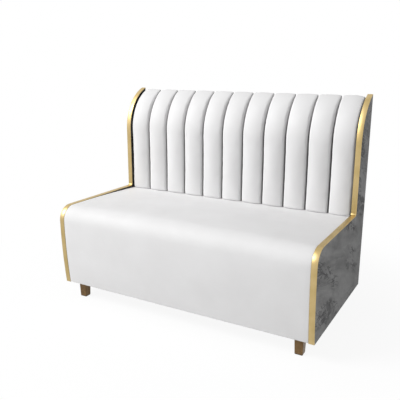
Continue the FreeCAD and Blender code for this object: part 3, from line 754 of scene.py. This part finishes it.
def marble(name, light):
    """Grey marble-look sheet: clouded ground, smudgy dark veins and faint pale ones. A light below 1 darkens
    the ground and the pale veins, a darker copy that paints shade.
    """
    material, tree, shader = new_material(name, 0.46)
    shader.inputs["Specular IOR Level"].default_value = 0.1
    spots = places(tree)
    streaks = streaked_places(tree)
    greys = ((0.36, 0.13 * light), (0.5, 0.225 * light), (0.64, 0.32 * light))
    ground = ramp(tree, clouds(tree, streaks, 9.0, 5.0, 0.58, 0.6), *greys)
    patches = ramp(tree, clouds(tree, streaks, 8.0, 2.0), (0.51, 0.0), (0.59, 1.0))
    smudges = ramp(tree, clouds(tree, streaks, 30.0, 5.0, 0.62, 1.0), (0.43, 1.0), (0.50, 0.0))
    strokes = ramp(tree, clouds(tree, streaks, 13.0, 4.0, 0.6, 1.4), (0.47, 0.0), (0.5, 1.0), (0.53, 0.0))
    threads = ramp(tree, clouds(tree, streaks, 6.0, 5.0, 0.6, 1.6), (0.488, 0.0), (0.5, 0.45), (0.512, 0.0))
    dark = blend(tree, smudges, strokes, 1.0, "LIGHTEN")
    colour = blend(tree, ground, (0.42 * light, 0.42 * light, 0.41 * light), threads)
    colour = blend(tree, colour, (0.018, 0.018, 0.02), blend(tree, (0, 0, 0), dark, patches))
    colour_with(tree, shader, colour)
    roughness_with(tree, shader, ramp(tree, clouds(tree, spots, 30.0, 3.0), (0.3, 0.40), (0.7, 0.52)))
    bump(tree, shader, clouds(tree, spots, 300.0, 2.0), 0.00004, 0.5)
    return material


def bronze():
    """Brown metal of the legs, brushed upwards and a little uneven."""
    material, tree, shader = new_material("bronze_leg", 0.34, 0.45)
    shader.inputs["Specular IOR Level"].default_value = 0.2
    brushing = clouds(tree, places(tree, (900, 900, 20)), 1.0, 2.0)
    patches = clouds(tree, places(tree), 45.0, 4.0)
    colour_with(tree, shader, ramp(tree, patches, (0.3, (0.150, 0.089, 0.037)), (0.7, (0.215, 0.130, 0.058))))
    roughness_with(tree, shader, ramp(tree, brushing, (0.25, 0.28), (0.75, 0.44)))
    bump(tree, shader, brushing, 0.00004, 0.5)
    return material


def wood(name, light, dark, stretch):
    """Wood with its grain along the axis for which stretch is least."""
    material, tree, shader = new_material(name, 0.65)
    grain = clouds(tree, places(tree, stretch), 1.0, 6.0, 0.6, 0.8)
    colour_with(tree, shader, ramp(tree, grain, (0.3, dark), (0.7, light)))
    roughness_with(tree, shader, ramp(tree, grain, (0.3, 0.74), (0.7, 0.58)))
    bump(tree, shader, grain, 0.0003, 0.5)
    return material


def board():
    """Brown fibreboard with its fine flecks."""
    material, tree, shader = new_material("board", 0.8)
    flecks = clouds(tree, places(tree), 900.0, 3.0)
    colour_with(tree, shader, ramp(tree, flecks, (0.3, (0.20, 0.125, 0.07)), (0.7, (0.34, 0.235, 0.145))))
    roughness_with(tree, shader, ramp(tree, flecks, (0.3, 0.86), (0.7, 0.72)))
    bump(tree, shader, flecks, 0.0002, 0.5)
    return material


def woven(name, low, high, scale):
    """Fibres that cross in two directions."""
    material, tree, shader = new_material(name, 0.85)
    lengthwise = clouds(tree, places(tree, (scale * 0.1, scale, scale)), 1.0, 2.0)
    crosswise = clouds(tree, places(tree, (scale, scale * 0.1, scale * 0.1)), 1.0, 2.0)
    fibres = blend(tree, lengthwise, crosswise, 0.5)
    colour_with(tree, shader, ramp(tree, fibres, (0.35, low), (0.65, high)))
    roughness_with(tree, shader, ramp(tree, fibres, (0.35, 0.92), (0.65, 0.78)))
    bump(tree, shader, fibres, 0.0003, 0.7)
    return material


def plain(name, low, high, roughness, metallic, scale):
    """A fine-grained moulded or plated surface."""
    material, tree, shader = new_material(name, roughness, metallic)
    grain = clouds(tree, places(tree), scale, 4.0)
    colour_with(tree, shader, ramp(tree, grain, (0.3, low), (0.7, high)))
    roughness_with(tree, shader, ramp(tree, grain, (0.3, roughness - 0.08), (0.7, roughness + 0.08)))
    bump(tree, shader, grain, 0.00008, 0.5)
    return material


def finishes():
    """The material of each slot in the record."""
    return {
        "white_leather": leather(),
        "gold_trim": gold(),
        "marble_sheet": marble("marble_sheet", 1.0),
        "edging": plain("edging", (0.10, 0.10, 0.10), (0.16, 0.16, 0.16), 0.5, 0.0, 500.0),
        "board": board(),
        "plywood": wood("plywood", (0.62, 0.45, 0.27), (0.48, 0.32, 0.17), (60, 60, 4)),
        "timber": wood("timber", (0.70, 0.50, 0.28), (0.50, 0.31, 0.14), (5, 90, 90)),
        "foam": plain("foam", (0.78, 0.72, 0.52), (0.86, 0.80, 0.62), 0.9, 0.0, 700.0),
        "webbing": woven("webbing", (0.05, 0.05, 0.055), (0.22, 0.21, 0.20), 1200.0),
        "dust_cloth": woven("dust_cloth", (0.012, 0.012, 0.013), (0.04, 0.04, 0.042), 900.0),
        "bronze_leg": bronze(),
        "glide": plain("glide", (0.015, 0.015, 0.015), (0.03, 0.03, 0.03), 0.45, 0.0, 900.0),
        "zinc_screw": plain("zinc_screw", (0.52, 0.53, 0.54), (0.66, 0.67, 0.68), 0.35, 1.0, 300.0),
    }


def dress(pieces):
    """Gives each piece and each CAD node the material of its slot; the panels' inner sheets get a darker copy
    of the marble, which paints the shade of their recess.
    """
    by_slot = finishes()
    for part in frame["record"]["subparts"]:
        nodes[part["node"]].material_slots[0].material = by_slot[part["material_slot"]]
    # painted shade: a darker copy of the marble for the inner sheets, which lie in the recess beside the
    # leather
    inner = marble("marble_sheet_inner_painted_shade", INNER_PAINTED_SHADE_LIGHTNESS)
    for side in ("left", "right"):
        nodes[side + "_inner_facing"].material_slots[0].material = inner
    for piece in pieces:
        piece.data.materials.append(by_slot[piece["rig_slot"]])


# Studio

AMBIENT = 0.26
KEY_POWER = 790.0
KEY_TURN = 50  # degrees to the left of the front
KEY_RISE = 40  # degrees above the floor
KEY_DISTANCE = 9.0
KEY_SIZE = 4.6
FLOOR_HALF = 12.0
FLOOR_BOUNCE = (0.78, 0.78, 0.78)
FLOOR_SEEN = (1.0, 1.0, 1.0)
SHADOW_FADE = 0.92  # share of plain white in the floor next to the bench
SHADOW_NEAR = 0.6  # metres from the middle of the bench at which that share starts to rise
SHADOW_FAR = 1.5  # metres at which the floor is plain white
CAMERA_PLACE = (1.109, -2.043, 1.075)
CAMERA_TILT = 75.5  # degrees from straight down
CAMERA_TURN = 29.71  # degrees to the left of straight to the rear
CAMERA_LENS = 48.3


def seen_directly(tree):
    """1 for camera, glossy and transmission rays, which see the plain white background."""
    path = tree.nodes.new("ShaderNodeLightPath")
    total = path.outputs["Is Camera Ray"]
    for name in ("Is Glossy Ray", "Is Transmission Ray"):
        add = tree.nodes.new("ShaderNodeMath")
        add.operation = "MAXIMUM"
        tree.links.new(total, add.inputs[0])
        tree.links.new(path.outputs[name], add.inputs[1])
        total = add.outputs[0]
    return total


def make_world():
    """Soft white light from all round, seen as plain white."""
    world = bpy.data.worlds.new("studio")
    world.use_nodes = True
    tree = world.node_tree
    soft = tree.nodes["Background"]
    soft.inputs["Color"].default_value = (1.0, 1.0, 1.0, 1.0)
    soft.inputs["Strength"].default_value = AMBIENT
    white = tree.nodes.new("ShaderNodeBackground")
    white.inputs["Color"].default_value = (1.0, 1.0, 1.0, 1.0)
    mix_shaders(tree, seen_directly(tree), soft, white, "World Output")
    bpy.context.scene.world = world


def floor_material():
    """A pale matt floor that shows the shadow near the bench and turns plain white further out."""
    material, tree, shader = new_material("floor", 0.9)
    shader.inputs["Specular IOR Level"].default_value = 0.0
    seen = seen_directly(tree)
    colour_with(tree, shader, blend(tree, FLOOR_BOUNCE, FLOOR_SEEN, seen))
    white = tree.nodes.new("ShaderNodeEmission")
    coords = tree.nodes.new("ShaderNodeTexCoord")
    distance = tree.nodes.new("ShaderNodeVectorMath")
    distance.operation = "LENGTH"
    tree.links.new(coords.outputs["Object"], distance.inputs[0])
    far = tree.nodes.new("ShaderNodeMapRange")
    far.interpolation_type = "SMOOTHSTEP"
    far.inputs["From Min"].default_value = SHADOW_NEAR
    far.inputs["From Max"].default_value = SHADOW_FAR
    far.inputs["To Min"].default_value = SHADOW_FADE
    tree.links.new(distance.outputs["Value"], far.inputs["Value"])
    share = tree.nodes.new("ShaderNodeMath")
    share.operation = "MULTIPLY"
    tree.links.new(far.outputs["Result"], share.inputs[0])
    tree.links.new(seen, share.inputs[1])
    mix_shaders(tree, share.outputs[0], shader, white, "Material Output")
    return material


def make_floor():
    """A large flat floor, which isn't part of the bench."""
    rows = [[(-FLOOR_HALF, y, 0.0), (FLOOR_HALF, y, 0.0)] for y in (-FLOOR_HALF, FLOOR_HALF)]
    floor = grid("floor", rows)
    floor.data.materials.append(floor_material())


def make_key_light():
    """One large soft lamp to the front left, aimed at the middle of the bench."""
    data = bpy.data.lights.new("key", "AREA")
    data.shape = "DISK"
    data.size = KEY_SIZE
    data.energy = KEY_POWER
    turn = math.radians(KEY_TURN)
    rise = math.radians(KEY_RISE)
    towards = Vector((-math.sin(turn) * math.cos(rise), -math.cos(turn) * math.cos(rise), math.sin(rise)))
    light = bpy.data.objects.new("key", data)
    light.location = Vector((0, 0, TOP_Z / 2)) + KEY_DISTANCE * towards
    light.rotation_euler = towards.to_track_quat("Z", "Y").to_euler()
    bpy.context.collection.objects.link(light)


def make_camera():
    """A camera at the photograph's place, to the front right of the bench."""
    data = bpy.data.cameras.new("camera")
    data.lens = CAMERA_LENS
    camera = bpy.data.objects.new("camera", data)
    camera.location = CAMERA_PLACE
    camera.rotation_euler = (math.radians(CAMERA_TILT), 0, math.radians(CAMERA_TURN))
    bpy.context.collection.objects.link(camera)
    bpy.context.scene.camera = camera


pieces = [make_seat(), trim_strip("left", -1), trim_strip("right", 1), make_rear_cover(), make_dust_cloth()]
pieces += [make_channel(number) for number in range(CHANNEL_COUNT)]
dress(pieces)
make_world()
make_floor()
make_key_light()
make_camera()
bpy.context.scene.view_settings.view_transform = "Standard"
